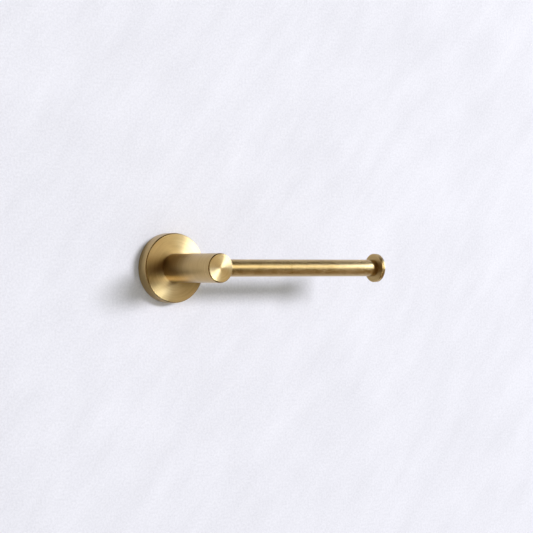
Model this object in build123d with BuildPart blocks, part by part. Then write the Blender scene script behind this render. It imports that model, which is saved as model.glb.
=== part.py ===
from build123d import *
import os
from math import cos, pi

# Wall-mounted toilet paper holder: a round rose, a round post standing out of the rose, and a
# round bar that the post carries along the wall, closed by a disc at its free end.
#
# Millimetres. The origin is the rose's centre on the wall face: +X along the bar, +Y into the
# wall and +Z up. "Distance" below always means distance in front of the wall, which is -Y, so
# the pieces inside the wall have negative distances.

os.makedirs("parts", exist_ok=True)

# Fits shared by the pieces
THREAD_GAP = 0.05  # radial gap left where a thread is drawn as a plain cylinder
THREAD_LEAD = 0.4  # chamfer on the end of a threaded piece
DRILL_POINT = 0.6  # length of a drilled hole's cone, as a share of its radius
CUTTER_MARGIN = 1.0  # how far a cutter reaches past the surface it opens

# Rose
ROSE_RADIUS = 25.0
ROSE_INNER_RADIUS = 22.0
ROSE_BACK = 0.2  # the rim stays this far off the wall, so it never binds
ROSE_FRONT = 10.0
ROSE_FLOOR = 7.0  # inner face of the rose's front
ROSE_CHAMFER = 0.6
ROSE_BOLT_HOLE_RADIUS = 3.2

# Post
POST_RADIUS = 10.35
POST_FRONT = 67.3
POST_CHAMFER = 0.6

# Bar and end stop
BAR_RADIUS = 6.1
BAR_DISTANCE = 57.0
BAR_START = 7.3  # floor of the pocket in the post
BAR_END = 143.5
BAR_CHAMFER = 0.3
POCKET_GAP = 0.05
STOP_RADIUS = 10.4
STOP_THICKNESS = 3.5
STOP_INNER_CHAMFER = 0.3
STOP_OUTER_CHAMFER = 0.5
SPIGOT_LENGTH = 10.0

# M6 thread shared by the bolt, the bar's stud and the stop's spigot
M6_RADIUS = 3.0
STUD_START = -2.7
STUD_END = 15.3
STUD_SOCKET = 3.0
STUD_SOCKET_DEPTH = 3.0
HOLE_RUNOUT = 1.7  # how far a tapped hole goes on past the piece in it

# Bolt from the rose into the post, with its lock washer
BOLT_LENGTH = 16.0
BOLT_HEAD_RADIUS = 5.25
BOLT_HEAD_HEIGHT = 3.3
BOLT_HEAD_LAND = 0.8
BOLT_SOCKET = 4.0
BOLT_SOCKET_DEPTH = 2.1
BOLT_DOME = (0.82, 0.27)  # middle of the head's arc: shares of the head's radius and height
WASHER_RADIUS = 5.9
WASHER_THICKNESS = 1.6
WASHER_SPLIT = 0.9
WASHER_SPLIT_ANGLE = 20

# Pin that stops the post turning on the rose
PIN_RADIUS = 1.5
PIN_HEIGHT = 7.6
PIN_BACK = 7.3
PIN_FRONT = 13.0
PIN_CHAMFER = 0.3
PIN_GAP = 0.02
PIN_RUNOUT = 0.3  # how far the post's pin hole goes on past the pin

# Wall plate
PLATE_RADIUS = 21.7
PLATE_THICKNESS = 5.0
PLATE_OPENING_RADIUS = 8.0
PLATE_LEAD_IN = 0.8
PLATE_RELIEF_RADIUS = 19.0
PLATE_RELIEF = 0.5
PLATE_FLAT = 20.5  # how far the set screw's flat lies below the centre

# Wall screws and plugs
SCREW_SPACING = 30.0
SCREW_RADIUS = 2.0
SCREW_LENGTH = 35.0
SCREW_HEAD_RADIUS = 4.0
SCREW_HEAD_RIM = 0.2
SCREW_HEAD_RECESS = 0.1  # how far the head sits below the plate's face
SCREW_POINT = 3.0
SCREW_CROSS = (4.2, 0.9, 2.0)  # length, width and depth of the cross recess
PLATE_HOLE_RADIUS = 2.3
COUNTERSINK_ANGLE = 90
COUNTERSINK_RADIUS = SCREW_HEAD_RADIUS + SCREW_HEAD_RIM + SCREW_HEAD_RECESS + THREAD_GAP
PLUG_RADIUS = 3.0
PLUG_LENGTH = 28.0
PLUG_COLLAR = 10.0
PLUG_SLIT = 0.8
PLUG_TEETH = 6
PLUG_TOOTH_PITCH = 2.8
PLUG_TOOTH_DEPTH = 0.45
PLUG_TOOTH_SHARE = 0.7  # sloped part of a tooth's pitch

# Set screw under the rose
SET_SCREW_RADIUS = 2.0
SET_SCREW_LENGTH = 4.0
SET_SCREW_DISTANCE = 3.0
SET_SCREW_GAP = 0.05
SET_SCREW_SOCKET = 2.0
SET_SCREW_SOCKET_DEPTH = 2.0

SIDES = {"left": -SCREW_SPACING / 2, "right": SCREW_SPACING / 2}


def turn_about_post(points, x=0, z=0, mode=Mode.ADD):
    """Turn a closed outline of (radius, distance) points about a line square to the wall."""
    with BuildSketch(Plane.XY.offset(z)) as outline:
        with BuildLine():
            Polyline([(x + radius, -distance) for radius, distance in points], close=True)
        make_face()
    revolve(outline.sketch, axis=Axis((x, 0, z), (0, 1, 0)), mode=mode)


def turn_about_bar(points, mode=Mode.ADD):
    """Turn a closed outline of (x, radius) points about the bar's axis."""
    with BuildSketch(Plane.XZ.offset(BAR_DISTANCE)) as outline:
        with BuildLine():
            Polyline(points, close=True)
        make_face()
    revolve(outline.sketch, axis=Axis((0, -BAR_DISTANCE, 0), (1, 0, 0)), mode=mode)


def hole_outline(radius, mouth, end):
    """Outline of a drilled hole from its mouth to the end of its full bore, as (radius, place)."""
    way = 1 if end > mouth else -1
    return [(0, mouth), (radius, mouth), (radius, end), (0, end + way * DRILL_POINT * radius)]


def hexagon(across_flats):
    RegularPolygon(radius=across_flats / 2 / cos(pi / 6), side_count=6)


# The steel plate screwed to the wall. Only its rim touches the wall, so it sits flat over the
# plugs, and a flat at the bottom takes the set screw's tip.
with BuildPart() as wall_plate:
    turn_about_post(
        [
            (PLATE_OPENING_RADIUS, PLATE_RELIEF),
            (PLATE_RELIEF_RADIUS, PLATE_RELIEF),
            (PLATE_RELIEF_RADIUS, 0),
            (PLATE_RADIUS, 0),
            (PLATE_RADIUS, PLATE_THICKNESS - PLATE_LEAD_IN),
            (PLATE_RADIUS - PLATE_LEAD_IN, PLATE_THICKNESS),
            (PLATE_OPENING_RADIUS, PLATE_THICKNESS),
        ]
    )
    with BuildSketch(Plane.XZ):
        with Locations((0, -PLATE_FLAT)):
            Rectangle(2 * PLATE_RADIUS, PLATE_RADIUS, align=(Align.CENTER, Align.MAX))
    extrude(amount=PLATE_THICKNESS, mode=Mode.SUBTRACT)
    with Locations(Plane.XZ.offset(PLATE_THICKNESS)):
        with Locations(*[(x, 0) for x in SIDES.values()]):
            CounterSinkHole(
                radius=PLATE_HOLE_RADIUS,
                counter_sink_radius=COUNTERSINK_RADIUS,
                counter_sink_angle=COUNTERSINK_ANGLE,
            )
wall_plate.part.label = "wall_plate"
export_step(wall_plate.part, "parts/wall_plate.step")


# Two countersunk screws, each in a nylon plug. The plug has a plain collar at the wall face
# and, behind it, two toothed legs that the screw spreads.
head_front = PLATE_THICKNESS - SCREW_HEAD_RECESS
head_rim = head_front - SCREW_HEAD_RIM
for side, side_x in SIDES.items():
    with BuildPart() as wall_screw:
        turn_about_post(
            [
                (0, head_front),
                (SCREW_HEAD_RADIUS, head_front),
                (SCREW_HEAD_RADIUS, head_rim),
                (SCREW_RADIUS, head_rim - (SCREW_HEAD_RADIUS - SCREW_RADIUS)),
                (SCREW_RADIUS, head_front - SCREW_LENGTH + SCREW_POINT),
                (0, head_front - SCREW_LENGTH),
            ],
            x=side_x,
        )
        cross_length, cross_width, cross_depth = SCREW_CROSS
        with BuildSketch(Plane.XZ.offset(head_front)):
            with Locations((side_x, 0)):
                Rectangle(cross_length, cross_width)
                Rectangle(cross_width, cross_length)
        extrude(amount=-cross_depth, mode=Mode.SUBTRACT)
    wall_screw.part.label = f"wall_screw_{side}"
    export_step(wall_screw.part, f"parts/wall_screw_{side}.step")

    with BuildPart() as wall_plug:
        turn_about_post(
            [
                (SCREW_RADIUS + THREAD_GAP, 0),
                (PLUG_RADIUS, 0),
                (PLUG_RADIUS, PLUG_TOOTH_DEPTH - PLUG_LENGTH),
                (PLUG_RADIUS - PLUG_TOOTH_DEPTH, -PLUG_LENGTH),
                (SCREW_RADIUS + THREAD_GAP, -PLUG_LENGTH),
            ],
            x=side_x,
        )
        for tooth in range(PLUG_TEETH):
            tooth_start = -PLUG_COLLAR - tooth * PLUG_TOOTH_PITCH
            tooth_end = tooth_start - PLUG_TOOTH_SHARE * PLUG_TOOTH_PITCH
            turn_about_post(
                [
                    (PLUG_RADIUS + CUTTER_MARGIN, tooth_start),
                    (PLUG_RADIUS - PLUG_TOOTH_DEPTH, tooth_start),
                    (PLUG_RADIUS, tooth_end),
                    (PLUG_RADIUS + CUTTER_MARGIN, tooth_end),
                ],
                x=side_x,
                mode=Mode.SUBTRACT,
            )
        with BuildSketch(Plane.XZ.offset(-PLUG_COLLAR)):
            with Locations((side_x, 0)):
                Rectangle(2 * (PLUG_RADIUS + CUTTER_MARGIN), PLUG_SLIT)
        extrude(amount=PLUG_COLLAR - PLUG_LENGTH, mode=Mode.SUBTRACT)
    wall_plug.part.label = f"wall_plug_{side}"
    export_step(wall_plug.part, f"parts/wall_plug_{side}.step")


# The rose is a cup over the wall plate. The bolt and the pin go through its front, and the set
# screw through its rim at the bottom.
with BuildPart() as rose:
    turn_about_post(
        [
            (ROSE_BOLT_HOLE_RADIUS, ROSE_FLOOR),
            (ROSE_INNER_RADIUS, ROSE_FLOOR),
            (ROSE_INNER_RADIUS, ROSE_BACK),
            (ROSE_RADIUS, ROSE_BACK),
            (ROSE_RADIUS, ROSE_FRONT - ROSE_CHAMFER),
            (ROSE_RADIUS - ROSE_CHAMFER, ROSE_FRONT),
            (ROSE_BOLT_HOLE_RADIUS, ROSE_FRONT),
        ]
    )
    with BuildSketch(Plane.XZ.offset(ROSE_FLOOR)):
        with Locations((0, PIN_HEIGHT)):
            Circle(PIN_RADIUS + PIN_GAP)
    extrude(amount=ROSE_FRONT - ROSE_FLOOR, mode=Mode.SUBTRACT)
    with BuildSketch(Plane.XY.offset(-ROSE_RADIUS - CUTTER_MARGIN)):
        with Locations((0, -SET_SCREW_DISTANCE)):
            Circle(SET_SCREW_RADIUS + SET_SCREW_GAP)
    extrude(amount=ROSE_RADIUS + CUTTER_MARGIN - PLATE_FLAT, mode=Mode.SUBTRACT)
rose.part.label = "rose"
export_step(rose.part, "parts/rose.step")


# The post is solid, tapped for the bolt at the back and pocketed for the bar near the front.
bolt_seat = ROSE_FLOOR - WASHER_THICKNESS
bolt_end = bolt_seat + BOLT_LENGTH
with BuildPart() as post:
    turn_about_post(
        [
            (0, ROSE_FRONT),
            (POST_RADIUS, ROSE_FRONT),
            (POST_RADIUS, POST_FRONT - POST_CHAMFER),
            (POST_RADIUS - POST_CHAMFER, POST_FRONT),
            (0, POST_FRONT),
        ]
    )
    turn_about_post(
        hole_outline(M6_RADIUS + THREAD_GAP, ROSE_FRONT, bolt_end + HOLE_RUNOUT),
        mode=Mode.SUBTRACT,
    )
    turn_about_post(
        hole_outline(PIN_RADIUS + PIN_GAP, ROSE_FRONT, PIN_FRONT + PIN_RUNOUT),
        z=PIN_HEIGHT,
        mode=Mode.SUBTRACT,
    )
    with BuildSketch(Plane.YZ.offset(BAR_START)):
        with Locations((-BAR_DISTANCE, 0)):
            Circle(BAR_RADIUS + POCKET_GAP)
    extrude(amount=POST_RADIUS, mode=Mode.SUBTRACT)
    turn_about_bar(
        [
            (x, radius)
            for radius, x in hole_outline(
                M6_RADIUS + THREAD_GAP, BAR_START, STUD_START - HOLE_RUNOUT / 2
            )
        ],
        mode=Mode.SUBTRACT,
    )
post.part.label = "post"
export_step(post.part, "parts/post.step")


# Button-head bolt, put in from behind through the lock washer and the rose.
head_back = bolt_seat - BOLT_HEAD_HEIGHT
dome_out, dome_up = BOLT_DOME
with BuildPart() as post_bolt:
    with BuildSketch():
        with BuildLine():
            Line((0, -head_back), (BOLT_HEAD_RADIUS / 2, -head_back))
            ThreePointArc(
                (BOLT_HEAD_RADIUS / 2, -head_back),
                (BOLT_HEAD_RADIUS * dome_out, -head_back - BOLT_HEAD_HEIGHT * dome_up),
                (BOLT_HEAD_RADIUS, -bolt_seat + BOLT_HEAD_LAND),
            )
            Polyline(
                (BOLT_HEAD_RADIUS, -bolt_seat + BOLT_HEAD_LAND),
                (BOLT_HEAD_RADIUS, -bolt_seat),
                (M6_RADIUS, -bolt_seat),
                (M6_RADIUS, -bolt_end + THREAD_LEAD),
                (M6_RADIUS - THREAD_LEAD, -bolt_end),
                (0, -bolt_end),
                (0, -head_back),
            )
        make_face()
    revolve(axis=Axis.Y)
    with BuildSketch(Plane.XZ.offset(head_back)):
        hexagon(BOLT_SOCKET)
    extrude(amount=BOLT_SOCKET_DEPTH, mode=Mode.SUBTRACT)
post_bolt.part.label = "post_bolt"
export_step(post_bolt.part, "parts/post_bolt.step")

with BuildPart() as lock_washer:
    with BuildSketch(Plane.XZ.offset(bolt_seat)):
        Circle(WASHER_RADIUS)
        Circle(M6_RADIUS + THREAD_GAP, mode=Mode.SUBTRACT)
        with Locations((0, -WASHER_RADIUS)):
            Rectangle(
                WASHER_SPLIT, 2 * WASHER_RADIUS, rotation=WASHER_SPLIT_ANGLE, mode=Mode.SUBTRACT
            )
    extrude(amount=WASHER_THICKNESS)
lock_washer.part.label = "lock_washer"
export_step(lock_washer.part, "parts/lock_washer.step")

with BuildPart() as locating_pin:
    turn_about_post(
        [
            (0, PIN_BACK),
            (PIN_RADIUS - PIN_CHAMFER, PIN_BACK),
            (PIN_RADIUS, PIN_BACK + PIN_CHAMFER),
            (PIN_RADIUS, PIN_FRONT - PIN_CHAMFER),
            (PIN_RADIUS - PIN_CHAMFER, PIN_FRONT),
            (0, PIN_FRONT),
        ],
        z=PIN_HEIGHT,
    )
locating_pin.part.label = "locating_pin"
export_step(locating_pin.part, "parts/locating_pin.step")


# The bar is solid and tapped at both ends: for the stud at the post, and for the stop's spigot.
with BuildPart() as roll_bar:
    turn_about_bar(
        [
            (BAR_START, 0),
            (BAR_START, BAR_RADIUS - BAR_CHAMFER),
            (BAR_START + BAR_CHAMFER, BAR_RADIUS),
            (BAR_END - BAR_CHAMFER, BAR_RADIUS),
            (BAR_END, BAR_RADIUS - BAR_CHAMFER),
            (BAR_END, 0),
        ]
    )
    for mouth, end in (
        (BAR_START, STUD_END + HOLE_RUNOUT),
        (BAR_END, BAR_END - SPIGOT_LENGTH - HOLE_RUNOUT),
    ):
        turn_about_bar(
            [(x, radius) for radius, x in hole_outline(M6_RADIUS + THREAD_GAP, mouth, end)],
            mode=Mode.SUBTRACT,
        )
roll_bar.part.label = "roll_bar"
export_step(roll_bar.part, "parts/roll_bar.step")

# Headless stud between the post and the bar, driven by the socket in the bar's end of it.
with BuildPart() as bar_stud:
    turn_about_bar(
        [
            (STUD_START, 0),
            (STUD_START, M6_RADIUS - THREAD_LEAD),
            (STUD_START + THREAD_LEAD, M6_RADIUS),
            (STUD_END - THREAD_LEAD, M6_RADIUS),
            (STUD_END, M6_RADIUS - THREAD_LEAD),
            (STUD_END, 0),
        ]
    )
    with BuildSketch(Plane.YZ.offset(STUD_END)):
        with Locations((-BAR_DISTANCE, 0)):
            hexagon(STUD_SOCKET)
    extrude(amount=-STUD_SOCKET_DEPTH, mode=Mode.SUBTRACT)
bar_stud.part.label = "bar_stud"
export_step(bar_stud.part, "parts/bar_stud.step")

# Disc that keeps the roll on the bar, turned in one piece with the spigot that screws into it.
with BuildPart() as end_stop:
    turn_about_bar(
        [
            (BAR_END - SPIGOT_LENGTH, 0),
            (BAR_END - SPIGOT_LENGTH, M6_RADIUS - THREAD_LEAD),
            (BAR_END - SPIGOT_LENGTH + THREAD_LEAD, M6_RADIUS),
            (BAR_END, M6_RADIUS),
            (BAR_END, STOP_RADIUS - STOP_INNER_CHAMFER),
            (BAR_END + STOP_INNER_CHAMFER, STOP_RADIUS),
            (BAR_END + STOP_THICKNESS - STOP_OUTER_CHAMFER, STOP_RADIUS),
            (BAR_END + STOP_THICKNESS, STOP_RADIUS - STOP_OUTER_CHAMFER),
            (BAR_END + STOP_THICKNESS, 0),
        ]
    )
end_stop.part.label = "end_stop"
export_step(end_stop.part, "parts/end_stop.step")


# Headless set screw that locks the rose on the wall plate, turned with a hexagon key from below.
set_screw_tip = -PLATE_FLAT - SET_SCREW_GAP
set_screw_low = set_screw_tip - SET_SCREW_LENGTH
with BuildPart() as set_screw:
    with BuildSketch(Plane.XY.offset(set_screw_low)):
        with Locations((0, -SET_SCREW_DISTANCE)):
            Circle(SET_SCREW_RADIUS)
    extrude(amount=SET_SCREW_LENGTH)
    chamfer(set_screw.edges().group_by(Axis.Z)[-1], THREAD_LEAD)
    with BuildSketch(Plane.XY.offset(set_screw_low)):
        with Locations((0, -SET_SCREW_DISTANCE)):
            hexagon(SET_SCREW_SOCKET)
    extrude(amount=SET_SCREW_SOCKET_DEPTH, mode=Mode.SUBTRACT)
set_screw.part.label = "set_screw"
export_step(set_screw.part, "parts/set_screw.step")
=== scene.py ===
import math

import bmesh
import bpy
from mathutils import Matrix, Vector


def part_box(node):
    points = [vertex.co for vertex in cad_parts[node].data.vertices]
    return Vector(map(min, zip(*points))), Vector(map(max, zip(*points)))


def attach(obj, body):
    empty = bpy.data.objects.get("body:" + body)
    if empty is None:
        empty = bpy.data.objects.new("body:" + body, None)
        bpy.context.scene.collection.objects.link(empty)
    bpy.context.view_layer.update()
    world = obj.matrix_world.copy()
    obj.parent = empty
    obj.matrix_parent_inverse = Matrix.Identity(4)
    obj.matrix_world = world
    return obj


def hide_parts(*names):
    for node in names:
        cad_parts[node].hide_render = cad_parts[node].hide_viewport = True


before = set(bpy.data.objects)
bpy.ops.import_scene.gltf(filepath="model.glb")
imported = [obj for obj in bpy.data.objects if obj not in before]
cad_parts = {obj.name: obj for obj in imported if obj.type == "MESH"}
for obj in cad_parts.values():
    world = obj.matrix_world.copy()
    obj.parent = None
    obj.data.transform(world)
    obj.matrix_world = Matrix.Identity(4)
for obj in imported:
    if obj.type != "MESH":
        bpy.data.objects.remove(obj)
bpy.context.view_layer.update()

# Looks for a wall-mounted toilet paper holder. Metres, in the CAD frame: the origin is the rose's
# centre on the wall face, +X along the bar, +Y into the wall, +Z up. A "distance" is how far a
# point stands in front of the wall, so it is minus y.

MM = 0.001
TURN = 2 * math.pi
WELD = 0.0005 * MM
NO_AREA = 1e-14
SHARP_ANGLE = 32  # degrees between faces, above which an edge is shaded sharp


# --- Sizes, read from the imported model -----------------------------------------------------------


def ends(node, axis):
    """Lowest and highest coordinate of a CAD node along an axis, 0 to 2."""
    low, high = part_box(node)
    return low[axis], high[axis]


def middle(node, axis):
    """Midpoint of a CAD node along an axis."""
    return sum(ends(node, axis)) / 2


def half_width(node, axis):
    """Half of a CAD node's size along an axis, so the radius of a round one."""
    low, high = ends(node, axis)
    return (high - low) / 2


ROSE_RADIUS = half_width("rose", 0)
ROSE_BACK, ROSE_FRONT = -ends("rose", 1)[1], -ends("rose", 1)[0]
ROSE_FLOOR = 7 * MM
ROSE_INNER_RADIUS = ROSE_RADIUS - 3 * MM
POST_RADIUS = half_width("post", 0)
POST_FRONT = -ends("post", 1)[0]
BAR_RADIUS = half_width("roll_bar", 2)
BAR_START, BAR_END = ends("roll_bar", 0)
BAR_Y = middle("roll_bar", 1)
STOP_RADIUS = half_width("end_stop", 2)
STOP_END = ends("end_stop", 0)[1]
SPIGOT_START = ends("end_stop", 0)[0]
PLATE_RADIUS = half_width("wall_plate", 0)
PLATE_FRONT = -ends("wall_plate", 1)[0]
PLATE_FLAT = ends("wall_plate", 2)[0]
PLATE_OPENING_RADIUS = 8 * MM
PLATE_RELIEF = 0.5 * MM
PLATE_RELIEF_RADIUS = 19 * MM
BOLT_RADIUS = 3 * MM
BOLT_BACK, BOLT_FRONT = -ends("post_bolt", 1)[1], -ends("post_bolt", 1)[0]
BOLT_HEAD_RADIUS = half_width("post_bolt", 0)
WASHER_BACK, WASHER_FRONT = -ends("lock_washer", 1)[1], -ends("lock_washer", 1)[0]
WASHER_RADIUS = half_width("lock_washer", 0)
PIN_Z = middle("locating_pin", 2)
PIN_RADIUS = half_width("locating_pin", 0)
SET_SCREW_Y = middle("set_screw", 1)
SET_SCREW_RADIUS = half_width("set_screw", 0)
BOLT_CORE = BOLT_RADIUS * 0.82  # radius at the root of an M6 thread
M6_PITCH = 1.0 * MM
M4_PITCH = 0.7 * MM
THREAD_GAP = 0.05 * MM  # radial gap round anything screwed in
PIN_GAP = 0.02 * MM
HOLE_RUNOUT = 1.7 * MM  # how far a tapped hole goes on past the piece in it
DRILL_POINT = 1.8 * MM
PAST = MM  # how far a cutter stands out past what it cuts


# --- Mesh tools ----------------------------------------------------------------------------------


def about_post(x=0.0, z=0.0):
    """Places (radius, angle, distance) about a line square to the wall."""
    return lambda r, a, d: Vector((x + r * math.cos(a), -d, z + r * math.sin(a)))


def about_bar(r, a, x):
    """Places (radius, angle, x) about the bar's axis."""
    return Vector((x, BAR_Y + r * math.cos(a), r * math.sin(a)))


def about_set_screw(r, a, z):
    """Places (radius, angle, z) about the set screw's axis."""
    return Vector((r * math.cos(a), SET_SCREW_Y + r * math.sin(a), z))


def rounded(points, radii, steps=4):
    """Outline with an arc in place of each corner that radii names by its index."""
    made = []
    for i, point in enumerate(points):
        radius = radii.get(i, 0)
        if not radius:
            made.append(tuple(point))
            continue
        corner = Vector(point)
        before = (Vector(points[i - 1]) - corner).normalized()
        after = (Vector(points[i + 1]) - corner).normalized()
        half = before.angle(after) / 2
        centre = corner + (before + after).normalized() * radius / math.sin(half)
        start = corner + before * radius / math.tan(half) - centre
        end = corner + after * radius / math.tan(half) - centre
        sweep = start.angle_signed(end)
        for k in range(steps + 1):
            turned = Matrix.Rotation(-sweep * k / steps, 2) @ start
            made.append(tuple(centre + turned))
    return made


def lathe(bm, place, outline, segments, closed=False):
    """Turns an outline of (radius, along) points. A radius of 0 makes a pole."""
    rings = []
    for radius, along in outline:
        if radius < WELD:
            rings.append([bm.verts.new(place(0, 0, along))])
        else:
            angles = (TURN * j / segments for j in range(segments))
            rings.append([bm.verts.new(place(radius, a, along)) for a in angles])
    pairs = list(zip(rings, rings[1:]))
    if closed:
        pairs.append((rings[-1], rings[0]))
    for low, high in pairs:
        for j in range(segments):
            k = (j + 1) % segments
            corners = (low[j % len(low)], low[k % len(low)], high[k % len(high)], high[j % len(high)])
            bm.faces.new(list(dict.fromkeys(corners)))


def thread(bm, place, start, end, pitch, root, crest, segments, tooth, rows=10):
    """A helical thread from start up to end. root and crest give their radius at a place along it,
    and tooth gives the height, 0 to 1, at a share of the pitch. Its end rings lie flat."""
    length = end - start
    count = math.ceil((length / pitch + 1) * rows) + 1

    def point(k, j):
        along = pitch * (k / rows - 1 + j / segments)
        clamped = min(max(along, 0), length)
        share = (clamped / pitch - j / segments) % 1
        at = start + clamped
        return place(root(at) + (crest(at) - root(at)) * tooth(share), TURN * j / segments, at)

    grid = [[bm.verts.new(point(k, j)) for j in range(segments)] for k in range(count + rows)]
    for k in range(count - 1):
        for j in range(segments):
            wraps = j == segments - 1
            step = rows if wraps else 0
            right = 0 if wraps else j + 1
            if k + 1 + step < len(grid):
                bm.faces.new(
                    (grid[k][j], grid[k + step][right], grid[k + 1 + step][right], grid[k + 1][j])
                )


def machine_tooth(share):
    """Sixty-degree thread with a rounded root and a narrow flat crest."""
    wave = abs(2 * share - 1)
    return min(1, max(0, 1.18 * wave - 0.06)) ** 0.9


def wood_tooth(share):
    """Sharp crest with a wide flat root between the turns."""
    return max(0, 1 - abs(share - 0.5) / 0.24) ** 0.8


def machine_thread(bm, place, start, end, pitch, core, radius, segments, end_slope=1.0):
    """A machine screw's thread, which grows from the core at both ends."""
    thread(
        bm, place, start, end, pitch,
        lambda at: core,
        lambda at: min(radius, core + at - start, core + (end - at) * end_slope),
        segments, machine_tooth,
    )


def prism(bm, place, outline, start, end):
    """A closed straight-sided solid between two places along, from (u, v) corners."""
    rings = []
    for at in (start, end):
        ring = [bm.verts.new(place(math.hypot(u, v), math.atan2(v, u), at)) for u, v in outline]
        rings.append(ring)
    for j in range(len(outline)):
        k = (j + 1) % len(outline)
        bm.faces.new((rings[0][j], rings[0][k], rings[1][k], rings[1][j]))
    for ring in rings:
        bm.faces.new(ring)


def hexagon(across_flats):
    """Corners of a hexagon socket."""
    radius = across_flats / 2 / math.cos(math.pi / 6)
    angles = (TURN * k / 6 for k in range(6))
    return [(radius * math.cos(a), radius * math.sin(a)) for a in angles]


def finish_mesh(bm):
    """Welds the seams, drops what has no area and turns every face outwards."""
    bmesh.ops.remove_doubles(bm, verts=bm.verts, dist=WELD)
    flat = [f for f in bm.faces if f.calc_area() < NO_AREA]
    bmesh.ops.delete(bm, geom=flat, context="FACES_ONLY")
    bmesh.ops.delete(bm, geom=[e for e in bm.edges if not e.link_faces], context="EDGES")
    bmesh.ops.recalc_face_normals(bm, faces=bm.faces)


def solid(name, *makers):
    """A mesh object from functions that each add to a bmesh."""
    bm = bmesh.new()
    for make in makers:
        make(bm)
    finish_mesh(bm)
    mesh = bpy.data.meshes.new(name)
    bm.to_mesh(mesh)
    bm.free()
    made = bpy.data.objects.new(name, mesh)
    bpy.context.scene.collection.objects.link(made)
    return made


def cut(target, *cutters):
    """Takes the cutters out of the target, exactly, and removes them."""
    for cutter in cutters:
        step = target.modifiers.new("cut", "BOOLEAN")
        step.operation = "DIFFERENCE"
        step.solver = "EXACT"
        step.object = cutter
    bpy.context.view_layer.update()
    evaluated = target.evaluated_get(bpy.context.evaluated_depsgraph_get())
    mesh = bpy.data.meshes.new_from_object(evaluated)
    target.modifiers.clear()
    old = target.data
    target.data = mesh
    bpy.data.meshes.remove(old)
    mesh.name = target.name
    for cutter in cutters:
        bpy.data.objects.remove(cutter)
    bm = bmesh.new()
    bm.from_mesh(mesh)
    bmesh.ops.remove_doubles(bm, verts=bm.verts, dist=WELD)
    bmesh.ops.dissolve_degenerate(bm, edges=bm.edges, dist=WELD)
    bm.to_mesh(mesh)
    bm.free()
    return target


def piece(made, body, node, material):
    """Shades a finished mesh and puts it in the place of a CAD node."""
    made.data.shade_smooth()
    made.data.set_sharp_from_angle(angle=math.radians(SHARP_ANGLE))
    made.data.materials.clear()
    made.data.materials.append(material)
    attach(made, body)
    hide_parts(node)
    return made


# --- Materials -----------------------------------------------------------------------------------


class Nodes:
    """A short way to write a material's nodes."""

    def __init__(self, name, tree=None):
        if tree is None:
            self.material = bpy.data.materials.new(name)
            self.material.use_nodes = True
            tree = self.material.node_tree
        self.tree = tree
        self.tree.nodes.clear()

    def add(self, kind, inputs=None, **settings):
        node = self.tree.nodes.new(kind)
        for key, value in settings.items():
            setattr(node, key, value)
        for key, value in (inputs or {}).items():
            if isinstance(value, bpy.types.NodeSocket):
                self.tree.links.new(value, node.inputs[key])
            else:
                node.inputs[key].default_value = value
        return node

    def maths(self, operation, a, b=0.0):
        return self.add("ShaderNodeMath", {0: a, 1: b}, operation=operation).outputs[0]

    def weigh(self, *shares):
        """Adds up (value, weight) pairs."""
        total = None
        for value, weight in shares:
            part = self.maths("MULTIPLY", value, weight)
            total = part if total is None else self.maths("ADD", total, part)
        return total

    def vector(self, x, y, z):
        return self.add("ShaderNodeCombineXYZ", {0: x, 1: y, 2: z}).outputs[0]

    def noise(self, vector, scale, detail=2.0, roughness=0.5):
        inputs = {"Vector": vector, "Scale": scale, "Detail": detail, "Roughness": roughness}
        return self.add("ShaderNodeTexNoise", inputs).outputs[0]

    def spread(self, value, low, high, to_low=0.0, to_high=1.0, **settings):
        """Maps low..high to to_low..to_high, and holds the ends."""
        inputs = {0: value, 1: low, 2: high, 3: to_low, 4: to_high}
        return self.add("ShaderNodeMapRange", inputs, clamp=True, **settings).outputs[0]

    def mix(self, share, first, second, blend_type="MIX"):
        node = self.add("ShaderNodeMix", data_type="RGBA", blend_type=blend_type)
        for index, value in ((0, share), (6, first), (7, second)):
            socket = node.inputs[index]
            if isinstance(value, bpy.types.NodeSocket):
                self.tree.links.new(value, socket)
            else:
                socket.default_value = value
        return node.outputs[2]

    def blend(self, share, first, second):
        inputs = {0: share, 2: first, 3: second}
        return self.add("ShaderNodeMix", inputs, data_type="FLOAT").outputs[0]

    def bump(self, height, distance, strength=1.0, normal=None):
        inputs = {"Height": height, "Distance": distance, "Strength": strength}
        if normal is not None:
            inputs["Normal"] = normal
        return self.add("ShaderNodeBump", inputs).outputs[0]

    def surface(self, inputs):
        shader = self.add("ShaderNodeBsdfPrincipled", inputs)
        self.add("ShaderNodeOutputMaterial", {"Surface": shader.outputs[0]})
        return shader


def turned_place(nodes, axis):
    """(radius, along, low-frequency vector) of a point about a turned piece's axis."""
    place = nodes.add("ShaderNodeTexCoord").outputs["Object"]
    x, y, z = nodes.add("ShaderNodeSeparateXYZ", {0: place}).outputs
    if axis == "X":
        across, along = nodes.maths("SUBTRACT", y, BAR_Y), x
    else:
        across, along = x, nodes.maths("MULTIPLY", y, -1.0)
    squares = nodes.maths("ADD", nodes.maths("POWER", across, 2.0), nodes.maths("POWER", z, 2.0))
    return nodes.maths("SQRT", squares), along, place


SPUN_ROUGH, SPUN_GRAIN = 0.42, 0.9
BRASS_DARK, BRASS_LIGHT = (0.430, 0.302, 0.125, 1), (0.530, 0.381, 0.175, 1)
QUARTER_TURN = 0.25  # turns the grain of a flat end from along its radius to round it


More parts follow.
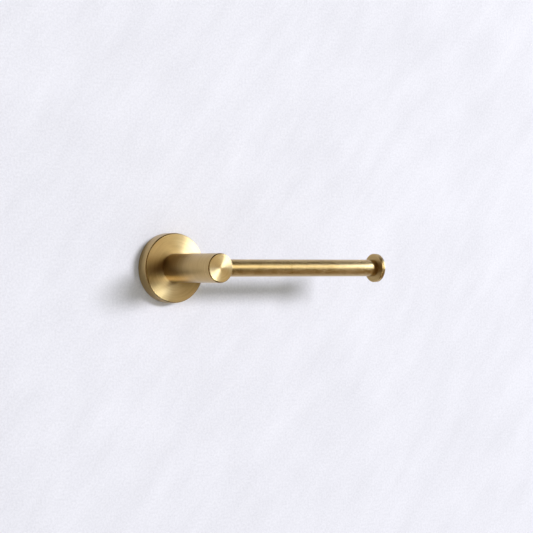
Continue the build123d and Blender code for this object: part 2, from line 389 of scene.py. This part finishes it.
def brushed_brass(name, axis, side_rough, side_grain):
    """Satin brass on a turned piece: flat ends spun to fine rings, and sides rubbed smooth, round
    the piece where side_grain is 0 and along it where it isn't."""
    nodes = Nodes(name)
    radius, along, place = turned_place(nodes, axis)
    meridian = nodes.maths("SUBTRACT", along, radius)
    x, y, z = nodes.add("ShaderNodeSeparateXYZ", {0: place}).outputs
    drift_x = nodes.maths("MULTIPLY", nodes.maths("ADD", x, y), 60.0)
    drift_z = nodes.maths("MULTIPLY", z, 60.0)

    def grain_round(per_metre, detail):
        """Lines round the piece, which drift a little on their way."""
        across = nodes.maths("MULTIPLY", meridian, per_metre)
        return nodes.noise(nodes.vector(across, drift_x, drift_z), 1.0, detail, 0.6)

    def grain_along(per_metre, detail):
        """Short lines along the piece."""
        scales = [per_metre * (0.06 if way == axis else 1.0) for way in "XYZ"]
        stretched = nodes.add("ShaderNodeMapping", {"Vector": place, "Scale": scales}).outputs[0]
        return nodes.noise(stretched, 1.0, detail, 0.6)

    rings, coarse, fine = grain_round(750.0, 1.0), grain_round(2600.0, 2.0), grain_round(9000.0, 2.0)
    side_coarse, side_fine = coarse, fine
    if side_grain:
        side_coarse, side_fine = grain_along(5000.0, 2.0), grain_along(14000.0, 2.0)
    cloud = nodes.noise(place, 45.0, 3.0, 0.55)

    # How squarely the surface faces along the axis: the flat ends are 1 and the sides are 0.
    facing = nodes.add("ShaderNodeTexCoord").outputs["Normal"]
    facing = nodes.add("ShaderNodeSeparateXYZ", {0: facing}).outputs[axis]
    facing = nodes.maths("ABSOLUTE", facing)
    flat = nodes.spread(facing, 0.93, 0.985)

    streaks = nodes.blend(nodes.maths("MULTIPLY", flat, 0.6), side_coarse, rings)
    shade = nodes.weigh((streaks, 0.7), (cloud, 0.3))
    colour = nodes.mix(nodes.spread(shade, 0.38, 0.62), BRASS_DARK, BRASS_LIGHT)
    smudge = nodes.spread(cloud, 0.3, 0.7, -0.02, 0.02)
    spun_rough = nodes.spread(fine, 0.3, 0.7, SPUN_ROUGH - 0.03, SPUN_ROUGH + 0.03)
    spun_rough = nodes.maths("ADD", spun_rough, smudge)
    satin_rough = nodes.spread(side_fine, 0.3, 0.7, side_rough - 0.01, side_rough + 0.01)
    satin_rough = nodes.maths("ADD", satin_rough, nodes.spread(cloud, 0.3, 0.7, -0.006, 0.006))
    polished_edge = nodes.spread(facing, 0.2, 0.6, 0.0, 0.14)
    satin_rough = nodes.maths("SUBTRACT", satin_rough, polished_edge)

    tangent = nodes.add("ShaderNodeTangent", direction_type="RADIAL", axis=axis).outputs[0]
    metal = {"Base Color": colour, "Metallic": 1.0, "Tangent": tangent}
    spun = nodes.add("ShaderNodeBsdfPrincipled", {
        **metal,
        "Roughness": spun_rough,
        "Anisotropic": SPUN_GRAIN,
        "Anisotropic Rotation": QUARTER_TURN,
        "Normal": nodes.bump(coarse, 0.003 * MM, 0.5, nodes.bump(fine, 0.001 * MM, 0.5)),
    })
    side_bump = nodes.bump(side_fine, 0.0002 * MM, 0.5)
    satin = nodes.add("ShaderNodeBsdfPrincipled", {
        **metal,
        "Roughness": satin_rough,
        "Anisotropic": side_grain,
        "Normal": nodes.bump(side_coarse, 0.0004 * MM, 0.5, side_bump),
    })
    both = nodes.add("ShaderNodeMixShader", {0: flat, 1: satin.outputs[0], 2: spun.outputs[0]})
    nodes.add("ShaderNodeOutputMaterial", {"Surface": both.outputs[0]})
    return nodes.material


def machined_steel(name):
    """Plain steel with a fine grain, oil-dulled in places."""
    nodes = Nodes(name)
    place = nodes.add("ShaderNodeTexCoord").outputs["Object"]
    cloud = nodes.noise(place, 300.0, 4.0, 0.6)
    grain = nodes.noise(place, 6000.0, 2.0)
    dull, bright = (0.40, 0.40, 0.41, 1), (0.56, 0.56, 0.57, 1)
    colour = nodes.mix(nodes.spread(cloud, 0.35, 0.65), dull, bright)
    nodes.surface(
        {
            "Base Color": colour,
            "Metallic": 1.0,
            "Roughness": nodes.spread(cloud, 0.3, 0.7, 0.26, 0.42),
            "Normal": nodes.bump(grain, 0.004 * MM, 0.6),
        }
    )
    return nodes.material


def zinc_plate(name):
    """Bright zinc on pressed steel: faint crystal patches, clouds and a fine grain."""
    nodes = Nodes(name)
    place = nodes.add("ShaderNodeTexCoord").outputs["Object"]
    patches = nodes.add("ShaderNodeTexVoronoi", {"Vector": place, "Scale": 420.0}).outputs["Color"]
    patch = nodes.add("ShaderNodeSeparateColor", {0: patches}).outputs[0]
    cloud = nodes.noise(place, 120.0, 3.0)
    tone = nodes.weigh((patch, 0.15), (cloud, 0.85))
    grey, white = (0.50, 0.52, 0.55, 1), (0.68, 0.70, 0.72, 1)
    colour = nodes.mix(nodes.spread(tone, 0.3, 0.7), grey, white)
    grain = nodes.noise(place, 4200.0, 3.0)
    nodes.surface(
        {
            "Base Color": colour,
            "Metallic": 1.0,
            "Roughness": nodes.spread(tone, 0.3, 0.7, 0.42, 0.30),
            "Normal": nodes.bump(grain, 0.006 * MM, 0.6),
        }
    )
    return nodes.material


def nylon(name):
    """Grey moulded nylon, slightly waxy, with a fine spark-eroded grain."""
    nodes = Nodes(name)
    place = nodes.add("ShaderNodeTexCoord").outputs["Object"]
    grain = nodes.noise(place, 3500.0, 3.0)
    cloud = nodes.noise(place, 150.0, 2.0)
    darker, lighter = (0.30, 0.31, 0.32, 1), (0.38, 0.39, 0.40, 1)
    colour = nodes.mix(nodes.spread(cloud, 0.3, 0.7), darker, lighter)
    nodes.surface(
        {
            "Base Color": colour,
            "Roughness": nodes.spread(cloud, 0.3, 0.7, 0.42, 0.52),
            "Subsurface Weight": 0.15,
            "Subsurface Radius": (0.001, 0.001, 0.001),
            "Normal": nodes.bump(grain, 0.012 * MM, 0.7),
        }
    )
    return nodes.material


BRASS_ON_POST = brushed_brass("brushed_brass_post", "Y", 0.34, 0.0)
BRASS_ON_BAR = brushed_brass("brushed_brass_bar", "X", 0.275, 0.85)
STEEL = machined_steel("screw_steel")
ZINC = zinc_plate("zinc_plated_steel")
NYLON = nylon("nylon")


# --- Brass pieces --------------------------------------------------------------------------------


def drill(place, radius, start, end, segments=48):
    """A cylinder to cut a hole with."""
    outline = [(0, start), (radius, start), (radius, end), (0, end)]
    return solid("drill", lambda bm: lathe(bm, place, outline, segments))


def build_rose():
    """Cup over the wall plate, with a turned chamfer round its face."""
    chamfer = 0.6 * MM
    hole = 3.2 * MM
    outline = [
        (hole, ROSE_FLOOR),
        (ROSE_INNER_RADIUS, ROSE_FLOOR),
        (ROSE_INNER_RADIUS, ROSE_BACK),
        (ROSE_RADIUS, ROSE_BACK),
        (ROSE_RADIUS, ROSE_FRONT - chamfer),
        (ROSE_RADIUS - chamfer, ROSE_FRONT),
        (hole, ROSE_FRONT),
        (hole, ROSE_FLOOR),
    ]
    soft = 0.18 * MM
    radii = {1: 0.5 * MM, 2: soft, 3: soft, 4: 0.3 * MM, 5: 0.3 * MM, 6: soft}
    outline = rounded(outline, radii)[:-1]
    rose = solid("rose_cup", lambda bm: lathe(bm, about_post(), outline, 256, closed=True))
    about_pin = about_post(z=PIN_Z)
    pin_hole = drill(about_pin, PIN_RADIUS + PIN_GAP, ROSE_FLOOR - PAST, ROSE_FRONT + PAST)
    screw_hole = drill(
        about_set_screw, SET_SCREW_RADIUS + THREAD_GAP, -ROSE_RADIUS - PAST, -ROSE_INNER_RADIUS + PAST
    )
    cut(rose, pin_hole, screw_hole)
    return piece(rose, "holder", "rose", BRASS_ON_POST)


def build_post():
    """Solid post with a spun face, pocketed for the bar."""
    chamfer = 0.6 * MM
    outline = [
        (0, ROSE_FRONT),
        (POST_RADIUS, ROSE_FRONT),
        (POST_RADIUS, POST_FRONT - chamfer),
        (POST_RADIUS - chamfer, POST_FRONT),
        (0, POST_FRONT),
    ]
    outline = rounded(outline, {1: 0.1 * MM, 2: 0.3 * MM, 3: 0.3 * MM})
    post = solid("post_bar", lambda bm: lathe(bm, about_post(), outline, 224))
    back = ROSE_FRONT - PAST
    pin_hole_end = ROSE_FRONT + 3.3 * MM
    stud_hole_end = -4 * MM
    bolt_hole = drill(about_post(), BOLT_RADIUS + THREAD_GAP, back, BOLT_FRONT + HOLE_RUNOUT)
    pin_hole = drill(about_post(z=PIN_Z), PIN_RADIUS + PIN_GAP, back, pin_hole_end)
    pocket = drill(about_bar, BAR_RADIUS + 0.05 * MM, BAR_START, POST_RADIUS + PAST, 128)
    stud_hole = drill(about_bar, BOLT_RADIUS + THREAD_GAP, stud_hole_end, BAR_START + PAST)
    cut(post, bolt_hole, pin_hole, pocket, stud_hole)
    return piece(post, "holder", "post", BRASS_ON_POST)


def build_roll_bar():
    """Solid bar, tapped at both ends."""
    chamfer = 0.3 * MM
    hole = BOLT_RADIUS + THREAD_GAP
    stud_end = ends("bar_stud", 0)[1] + HOLE_RUNOUT
    spigot_end = SPIGOT_START - HOLE_RUNOUT
    outline = [
        (0, stud_end + DRILL_POINT),
        (hole, stud_end),
        (hole, BAR_START),
        (BAR_RADIUS - chamfer, BAR_START),
        (BAR_RADIUS, BAR_START + chamfer),
        (BAR_RADIUS, BAR_END - chamfer),
        (BAR_RADIUS - chamfer, BAR_END),
        (hole, BAR_END),
        (hole, spigot_end),
        (0, spigot_end - DRILL_POINT),
    ]
    outline = rounded(outline, {i: 0.15 * MM for i in range(3, 7)})
    bar = solid("roll_bar_rod", lambda bm: lathe(bm, about_bar, outline, 160))
    return piece(bar, "holder", "roll_bar", BRASS_ON_BAR)


def build_end_stop():
    """Disc with its threaded spigot."""
    inner, outer = 0.3 * MM, 0.5 * MM
    neck = BAR_END - 0.6 * MM  # the spigot's plain neck, where it joins the disc
    segments = 192
    disc = [
        (BOLT_CORE, neck),
        (BOLT_CORE, BAR_END),
        (STOP_RADIUS - inner, BAR_END),
        (STOP_RADIUS, BAR_END + inner),
        (STOP_RADIUS, STOP_END - outer),
        (STOP_RADIUS - outer, STOP_END),
        (0, STOP_END),
    ]
    disc = rounded(disc, {2: 0.15 * MM, 3: 0.15 * MM, 4: 0.28 * MM, 5: 0.28 * MM})

    def spigot(bm):
        machine_thread(
            bm, about_bar, SPIGOT_START, neck, M6_PITCH, BOLT_CORE, BOLT_RADIUS, segments
        )
        lathe(bm, about_bar, [(0, SPIGOT_START), (BOLT_CORE, SPIGOT_START)], segments)

    stop = solid("end_stop_disc", lambda bm: lathe(bm, about_bar, disc, segments), spigot)
    return piece(stop, "holder", "end_stop", BRASS_ON_BAR)


# --- Fixings -------------------------------------------------------------------------------------


def build_wall_plate():
    """Pressed steel plate with countersunk screw holes and a flat for the set screw."""
    lead = 0.8 * MM
    outline = [
        (PLATE_OPENING_RADIUS, PLATE_RELIEF),
        (PLATE_RELIEF_RADIUS, PLATE_RELIEF),
        (PLATE_RELIEF_RADIUS, 0),
        (PLATE_RADIUS, 0),
        (PLATE_RADIUS, PLATE_FRONT - lead),
        (PLATE_RADIUS - lead, PLATE_FRONT),
        (PLATE_OPENING_RADIUS, PLATE_FRONT),
        (PLATE_OPENING_RADIUS, PLATE_RELIEF),
    ]
    sharp, soft = 0.15 * MM, 0.3 * MM
    radii = {1: 0.2 * MM, 2: sharp, 3: sharp, 4: soft, 5: soft, 6: soft}
    outline = rounded(outline, radii)[:-1]
    plate = solid("wall_plate_disc", lambda bm: lathe(bm, about_post(), outline, 192, closed=True))
    below = 2 * PLATE_RADIUS
    flat = [(-below, PLATE_FLAT), (-below, -below), (below, -below), (below, PLATE_FLAT)]
    cutters = [solid("flat", lambda bm: prism(bm, about_post(), flat, -PAST, PLATE_FRONT + PAST))]
    hole, sink_mouth = 2.3 * MM, 4.35 * MM
    above = 0.2 * MM
    for side in ("left", "right"):
        x = middle(f"wall_screw_{side}", 0)
        sink = [
            (0, -PAST),
            (hole, -PAST),
            (hole, PLATE_FRONT - (sink_mouth - hole)),
            (sink_mouth, PLATE_FRONT),
            (sink_mouth + above, PLATE_FRONT + above),
            (0, PLATE_FRONT + above),
        ]
        cutters.append(solid("sink", lambda bm: lathe(bm, about_post(x=x), sink, 64)))
    cut(plate, *cutters)
    return piece(plate, "wall_fixing", "wall_plate", ZINC)


def cross_arm(bm, x, front, turn):
    """One tapered slot of a cross recess, as a closed wedge to cut with."""
    place = about_post(x=x)
    mouth = (0.1 * MM, 2.15 * MM, 0.45 * MM)
    bottom = (-2.0 * MM, 0.95 * MM, 0.32 * MM)
    rings = []
    for depth, long_half, wide_half in (mouth, bottom):
        ring = []
        for u, v in ((-1, -1), (1, -1), (1, 1), (-1, 1)):
            u, v = u * long_half, v * wide_half
            angle = math.atan2(v, u) + math.pi / 4 + turn
            ring.append(bm.verts.new(place(math.hypot(u, v), angle, front + depth)))
        rings.append(ring)
    for j in range(4):
        k = (j + 1) % 4
        bm.faces.new((rings[0][j], rings[0][k], rings[1][k], rings[1][j]))
    bm.faces.new(rings[0])
    bm.faces.new(rings[1])


def build_wall_screw(side):
    """Countersunk screw with a coarse thread, a point and a cross recess."""
    node = f"wall_screw_{side}"
    x = middle(node, 0)
    about = about_post(x=x)
    tip, front = -ends(node, 1)[1], -ends(node, 1)[0]
    head = half_width(node, 0)
    shank, crest = 1.45 * MM, 2.0 * MM
    pitch = 1.8 * MM
    point_length = 4.5 * MM
    neck = front - 2.4 * MM
    segments = 48
    thread_end = neck - 4.0 * MM
    thread_start = tip + 0.4 * MM

    def envelope(limit):
        """The radius that the point allows, up to a limit."""
        return lambda at: max(0.12 * MM, min(limit, (at - tip) * limit / point_length))

    def crest_at(at):
        fade_in = envelope(shank)(at) + at - thread_start
        fade_out = shank + (thread_end - at) * 0.8
        return min(envelope(crest)(at) + 0.05 * MM, crest, fade_in, fade_out)

    def shape(bm):
        thread(
            bm, about, thread_start, thread_end, pitch,
            envelope(shank), crest_at,
            segments, wood_tooth, 16,
        )
        lathe(bm, about, [(0, tip), (envelope(shank)(thread_start), thread_start)], segments)
        outline = [
            (shank, thread_end),
            (shank, neck - 0.2 * MM),
            (head - 0.1 * MM, front - 0.3 * MM),
            (head - 0.1 * MM, front - 0.12 * MM),
            (head - 0.35 * MM, front),
            (0, front),
        ]
        lathe(bm, about, rounded(outline, {1: 0.8 * MM, 4: 0.15 * MM}), segments)

    screw = solid(f"wall_screw_{side}_threaded", shape)
    arms = [
        solid("cross", lambda bm: cross_arm(bm, x, front, turn)) for turn in (0, math.pi / 2)
    ]
    cut(screw, *arms)
    return piece(screw, "wall_fixing", node, STEEL)


def build_wall_plug(side):
    """Moulded plug: plain collar, then two toothed legs that the screw spreads."""
    node = f"wall_plug_{side}"
    x = middle(node, 0)
    about = about_post(x=x)
    deep = ends(node, 1)[1]
    radius, bore = half_width(node, 0), 2.05 * MM
    collar, pitch, depth = 10 * MM, 2.8 * MM, 0.45 * MM
    teeth = 6
    outline = [(bore, 0), (radius, 0)]
    for tooth in range(teeth):
        at = -collar - tooth * pitch
        outline += [(radius, at), (radius - depth, at), (radius, at - 0.7 * pitch)]
    outline += [(radius, depth - deep), (radius - depth, -deep), (bore, -deep), (bore, 0)]
    radii = {1: 0.25 * MM}
    radii.update({i: 0.08 * MM for i in range(2, len(outline) - 2)})
    outline = rounded(outline, radii, 3)[:-1]
    name = f"wall_plug_{side}_moulded"
    plug = solid(name, lambda bm: lathe(bm, about, outline, 64, closed=True))
    wide, thin = 4 * MM, 0.4 * MM
    slit = [(-wide, -thin), (wide, -thin), (wide, thin), (-wide, thin)]
    cut(plug, solid("slit", lambda bm: prism(bm, about, slit, -collar, -deep - PAST)))
    return piece(plug, "wall_fixing", node, NYLON)


def build_post_bolt():
    """Button-head bolt with a hexagon socket."""
    land = 0.8 * MM
    seat = WASHER_BACK
    neck = seat + 0.6 * MM
    socket_floor = BOLT_BACK + 2.1 * MM
    segments = 72
    head = [
        (BOLT_CORE, neck),
        (BOLT_CORE, seat),
        (BOLT_HEAD_RADIUS, seat),
        (BOLT_HEAD_RADIUS, seat - land),
        (BOLT_HEAD_RADIUS * 0.93, seat - land - 0.9 * MM),
        (BOLT_HEAD_RADIUS * 0.76, seat - land - 1.75 * MM),
        (BOLT_HEAD_RADIUS * 0.5, BOLT_BACK),
        (0, BOLT_BACK),
    ]
    head = rounded(head, {2: 0.15 * MM, 3: 0.3 * MM, 4: 2 * MM, 5: 2 * MM, 6: 0.8 * MM}, 6)

    about = about_post()

    def shank(bm):
        machine_thread(
            bm, about, neck, BOLT_FRONT, M6_PITCH, BOLT_CORE, BOLT_RADIUS, segments
        )
        lathe(bm, about, [(BOLT_CORE, BOLT_FRONT), (0, BOLT_FRONT)], segments)

    bolt = solid("post_bolt_threaded", lambda bm: lathe(bm, about, head, segments), shank)
    socket = hexagon(4 * MM)
    cut(bolt, solid("socket", lambda bm: prism(bm, about, socket, BOLT_BACK - PAST, socket_floor)))
    return piece(bolt, "holder", "post_bolt", STEEL)


def build_lock_washer():
    """Split spring washer."""
    inner = BOLT_RADIUS + THREAD_GAP
    gap = 0.9 * MM
    place = about_post()
    middle_angle = -math.pi / 2 + math.radians(20)
    segments = 96

    def coil(bm):
        corners = [
            (inner, WASHER_BACK), (WASHER_RADIUS, WASHER_BACK),
            (WASHER_RADIUS, WASHER_FRONT), (inner, WASHER_FRONT),
        ]
        radii = {i: 0.12 * MM for i in range(1, 5)}
        loop = rounded([corners[-1], *corners, corners[0]], radii, 3)[1:-1]
        rings = []
        half = gap / 2 / (inner + WASHER_RADIUS) * 2
        for j in range(segments + 1):
            angle = middle_angle + half + (TURN - 2 * half) * j / segments
            rings.append([bm.verts.new(place(r, angle, d)) for r, d in loop])
        for low, high in zip(rings, rings[1:]):
            for j in range(len(loop)):
                k = (j + 1) % len(loop)
                bm.faces.new((low[j], low[k], high[k], high[j]))
        bm.faces.new(rings[0])
        bm.faces.new(rings[-1])

    return piece(solid("lock_washer_split", coil), "holder", "lock_washer", ZINC)


def build_locating_pin():
    """Plain ground pin between the rose and the post."""
    back, front = -ends("locating_pin", 1)[1], -ends("locating_pin", 1)[0]
    outline = [(0, back), (PIN_RADIUS, back), (PIN_RADIUS, front), (0, front)]
    outline = rounded(outline, {1: 0.3 * MM, 2: 0.3 * MM})
    pin = solid("locating_pin_ground", lambda bm: lathe(bm, about_post(z=PIN_Z), outline, 48))
    return piece(pin, "holder", "locating_pin", STEEL)


def build_bar_stud():
    """Headless stud, threaded from end to end."""
    start, end = ends("bar_stud", 0)
    segments = 64

    def shape(bm):
        machine_thread(bm, about_bar, start, end, M6_PITCH, BOLT_CORE, BOLT_RADIUS, segments)
        lathe(bm, about_bar, [(0, start), (BOLT_CORE, start)], segments)
        lathe(bm, about_bar, [(BOLT_CORE, end), (0, end)], segments)

    stud = solid("bar_stud_threaded", shape)
    socket, depth = hexagon(3 * MM), 3 * MM
    cut(stud, solid("socket", lambda bm: prism(bm, about_bar, socket, end - depth, end + PAST)))
    return piece(stud, "holder", "bar_stud", STEEL)


def build_set_screw():
    """Headless socket screw with a cup point, seen from below the rose."""
    low, tip = ends("set_screw", 2)
    core = SET_SCREW_RADIUS * 0.80
    segments = 64

    def shape(bm):
        machine_thread(
            bm, about_set_screw, low, tip, M4_PITCH, core, SET_SCREW_RADIUS, segments, 0.8
        )
        lathe(bm, about_set_screw, [(core, low), (0, low)], segments)
        cup = [(core, tip), (0.75 * core, tip), (0, tip - 0.7 * MM)]
        lathe(bm, about_set_screw, cup, segments)

    screw = solid("set_screw_threaded", shape)
    socket, floor = hexagon(2 * MM), low + 2 * MM
    cut(screw, solid("socket", lambda bm: prism(bm, about_set_screw, socket, low - PAST, floor)))
    return piece(screw, "set_screw", "set_screw", STEEL)


# --- Building every piece ------------------------------------------------------------------------


build_rose()
build_post()
build_roll_bar()
build_end_stop()
build_wall_plate()
for side in ("left", "right"):
    build_wall_screw(side)
    build_wall_plug(side)
build_post_bolt()
build_lock_washer()
build_locating_pin()
build_bar_stud()
build_set_screw()


# --- Stage ---------------------------------------------------------------------------------------


def plaster(name, base, see_through_back):
    """Painted plaster: trowel strokes that rise to the right, faint clouds and a fine grain."""
    nodes = Nodes(name)
    place = nodes.add("ShaderNodeTexCoord").outputs["Object"]
    rise = (0, math.radians(50), 0)
    turned = nodes.add("ShaderNodeMapping", {"Vector": place, "Rotation": rise}).outputs[0]
    stretched = nodes.add("ShaderNodeMapping", {"Vector": turned, "Scale": (16, 16, 55)}).outputs[0]
    strokes = nodes.noise(stretched, 1.0, 5.0, 0.6)
    cloud = nodes.noise(place, 9.0, 6.0, 0.6)
    grain = nodes.noise(place, 620.0, 2.0, 0.7)
    tone = nodes.weigh((strokes, 0.28), (cloud, 0.22), (grain, 0.5))
    darker = tuple(c * 0.82 for c in base[:3]) + (1,)
    lighter = tuple(c * 1.12 for c in base[:3]) + (1,)
    colour = nodes.mix(nodes.spread(tone, 0.25, 0.75), darker, lighter)
    height = nodes.weigh((strokes, 0.5), (grain, 0.12))
    normal = nodes.bump(height, 0.5 * MM, 0.35)
    shader = nodes.add(
        "ShaderNodeBsdfPrincipled",
        {"Base Color": colour, "Roughness": 0.9, "Specular IOR Level": 0.0, "Normal": normal},
    )
    surface = shader.outputs[0]
    if see_through_back:
        back = nodes.add("ShaderNodeNewGeometry").outputs["Backfacing"]
        clear = nodes.add("ShaderNodeBsdfTransparent").outputs[0]
        surface = nodes.add("ShaderNodeMixShader", {0: back, 1: surface, 2: clear}).outputs[0]
    nodes.add("ShaderNodeOutputMaterial", {"Surface": surface})
    return nodes.material


def staged(name, make, material):
    """A mesh of the set round the holder, which isn't part of it."""
    bm = bmesh.new()
    make(bm)
    mesh = bpy.data.meshes.new(name)
    bm.to_mesh(mesh)
    bm.free()
    mesh.materials.append(material)
    made = bpy.data.objects.new(name, mesh)
    bpy.context.scene.collection.objects.link(made)
    return made


WALL_REACH = 1.6
FLOOR_DROP = 0.9
WALL_HOLE_RADIUS = PLATE_RADIUS - 1.7 * MM
TINY = 1e-9  # keeps a division by a sine or cosine of nought finite


def wall_sheet(bm):
    """The wall in front of y 0, open behind the plate so that the plate's back is lit."""
    corners = [math.atan2(z, x) for x in (-WALL_REACH, WALL_REACH) for z in (-FLOOR_DROP, WALL_REACH)]
    angles = sorted(corners + [TURN * step / 96 - math.pi for step in range(96)])
    rows = []
    for angle in angles:
        x, z = math.cos(angle), math.sin(angle)
        reach_z = (WALL_REACH if z > 0 else FLOOR_DROP) / max(abs(z), TINY)
        reach = min(WALL_REACH / max(abs(x), TINY), reach_z)
        rows.append([bm.verts.new((x * r, 0, z * r)) for r in (WALL_HOLE_RADIUS, reach)])
    for this, following in zip(rows, rows[1:] + rows[:1]):
        bm.faces.new((this[0], this[1], following[1], following[0]))


def floor_sheet(bm):
    """The floor, well below the holder."""
    corners = ((-1, -2), (1, -2), (1, 1), (-1, 1))
    bm.faces.new([bm.verts.new((x * WALL_REACH, y * WALL_REACH, -FLOOR_DROP)) for x, y in corners])


WALL_GREY, FLOOR_GREY = (0.80, 0.80, 0.80, 1), (0.56, 0.56, 0.57, 1)
staged("wall_backdrop", wall_sheet, plaster("wall_plaster", WALL_GREY, True))
floor = staged("floor", floor_sheet, plaster("floor_paint", FLOOR_GREY, False))
floor.visible_glossy = False


# --- Light and camera ----------------------------------------------------------------------------


def direction(azimuth, elevation):
    """Unit vector out into the room. The azimuth is in degrees to the right of the wall's normal,
    for someone who faces the wall."""
    a, e = math.radians(azimuth), math.radians(elevation)
    return Vector((math.sin(a) * math.cos(e), -math.cos(a) * math.cos(e), math.sin(e)))


def key_light():
    """Soft light from the right and above, for the matt wall and its shadows. The brass mirrors
    the world's lights and not this one."""
    lamp = bpy.data.lights.new("key", "AREA")
    lamp.shape = "RECTANGLE"
    lamp.size, lamp.size_y = 3.0, 1.08
    lamp.energy = 384.0
    lamp.color = (0.98, 0.98, 1.12)
    made = bpy.data.objects.new("key", lamp)
    way, distance = direction(28.5, 14.2), 7.0
    made.location = way * distance
    made.rotation_mode = "QUATERNION"
    made.rotation_quaternion = way.to_track_quat("Z", "Y")
    made.visible_camera = False
    made.visible_glossy = False
    bpy.context.scene.collection.objects.link(made)


key_light()


class GlossRoom:
    """What brass mirrors: a dark warm room with soft lights in it. Each light is a box of the sky
    between two azimuths and two elevations, in degrees, whose edges fade over some degrees outside
    it. A slope tilts the box, by so many degrees up for each degree to the right."""

    def __init__(self, nodes, x, y, z):
        self.nodes = nodes
        azimuth = nodes.maths("ARCTAN2", x, nodes.maths("MULTIPLY", y, -1.0))
        self.azimuth = nodes.maths("MULTIPLY", azimuth, math.degrees(1))
        self.elevation = nodes.maths("MULTIPLY", nodes.maths("ARCSINE", z), math.degrees(1))
        left, right = (0.035, 0.021, 0.009, 1), (0.05, 0.04, 0.025, 1)
        self.colour = nodes.mix(nodes.spread(x, -0.3, 0.6), left, right)

    def light(self, colour, across, up, fade, slope=0.0):
        """Adds a soft light of this colour."""
        nodes = self.nodes
        tilt = nodes.maths("MULTIPLY", self.azimuth, slope)
        rise = nodes.maths("SUBTRACT", self.elevation, tilt)
        share = None
        edges = (
            (self.azimuth, across[0] - fade, across[0]),
            (self.azimuth, across[1] + fade, across[1]),
            (rise, up[0] - fade, up[0]),
            (rise, up[1] + fade, up[1]),
        )
        for angle, none, full in edges:
            edge = nodes.spread(angle, none, full, interpolation_type="SMOOTHSTEP")
            share = edge if share is None else nodes.maths("MULTIPLY", share, edge)
        self.colour = nodes.mix(share, self.colour, colour, blend_type="ADD")


def room_world():
    """Even light on matt surfaces, and for gloss a dark room with soft lights round it."""
    world = bpy.data.worlds.new("room")
    world.use_nodes = True
    nodes = Nodes("room", world.node_tree)
    way = nodes.add("ShaderNodeTexCoord").outputs["Generated"]
    x, y, z = nodes.add("ShaderNodeSeparateXYZ", {0: way}).outputs
    room = GlossRoom(nodes, x, y, z)
    # Main soft window to the right: the bright fan on each spun face.
    room.light((19.0, 23.0, 32.5, 1), (51, 73), (6, 24), 4)
    # Slanted strip left of it: lights the rose's left, with the sharp edge of the post's shade.
    room.light((5.6, 4.8, 3.6, 1), (8, 29), (-1, 3), 4, slope=0.5)
    # The patch that the bar mirrors as its long highlight.
    room.light((2.5, 2.6, 2.6, 1), (31, 42), (5, 25), 8)
    # Faint fill round the main window.
    room.light((0.25, 0.21, 0.16, 1), (40, 80), (4, 28), 12)
    # Low light: the glow at the post's foot and on the rose's lower left.
    room.light((11.5, 12.5, 14.0, 1), (-2, 12), (-42, -27), 8)
    # Warm glow of the floor, low on the right.
    room.light((0.32, 0.23, 0.13, 1), (45, 85), (-60, -20), 15)
    # Warm side of the room that the chamfers on the left mirror.
    room.light((0.26, 0.19, 0.11, 1), (-75, -42), (-60, 60), 10)
    behind_wall = (0.55, 0.55, 0.56, 1)
    gloss = nodes.mix(nodes.spread(y, 0.0, 0.3), room.colour, behind_wall)
    path = nodes.add("ShaderNodeLightPath")
    matt = nodes.mix(path.outputs["Is Glossy Ray"], (0.455, 0.455, 0.43, 1), gloss)
    seen = nodes.mix(path.outputs["Is Camera Ray"], matt, (0.86, 0.86, 0.88, 1))
    background = nodes.add("ShaderNodeBackground", {"Color": seen, "Strength": 1.0})
    nodes.add("ShaderNodeOutputWorld", {"Surface": background.outputs[0]})
    # Sampled as a light, the world would light gloss with what only matt surfaces should get.
    world.cycles.sampling_method = "NONE"
    bpy.context.scene.world = world


room_world()


def photo_camera():
    """Stands where the photo was taken: 36 degrees to the left, level with the bar."""
    camera = bpy.data.objects.new("camera", bpy.data.cameras.new("camera"))
    camera.data.lens = 140.0
    camera.data.sensor_width = 36.0
    stands_at = (-0.8173, -1.2458, 0.00107)
    camera.location = Vector(stands_at)
    camera.rotation_mode = "QUATERNION"
    camera.rotation_quaternion = direction(-36.0, 0.0).to_track_quat("Z", "Y")
    bpy.context.scene.collection.objects.link(camera)
    bpy.context.scene.camera = camera


photo_camera()
bpy.context.scene.view_settings.view_transform = "Standard"
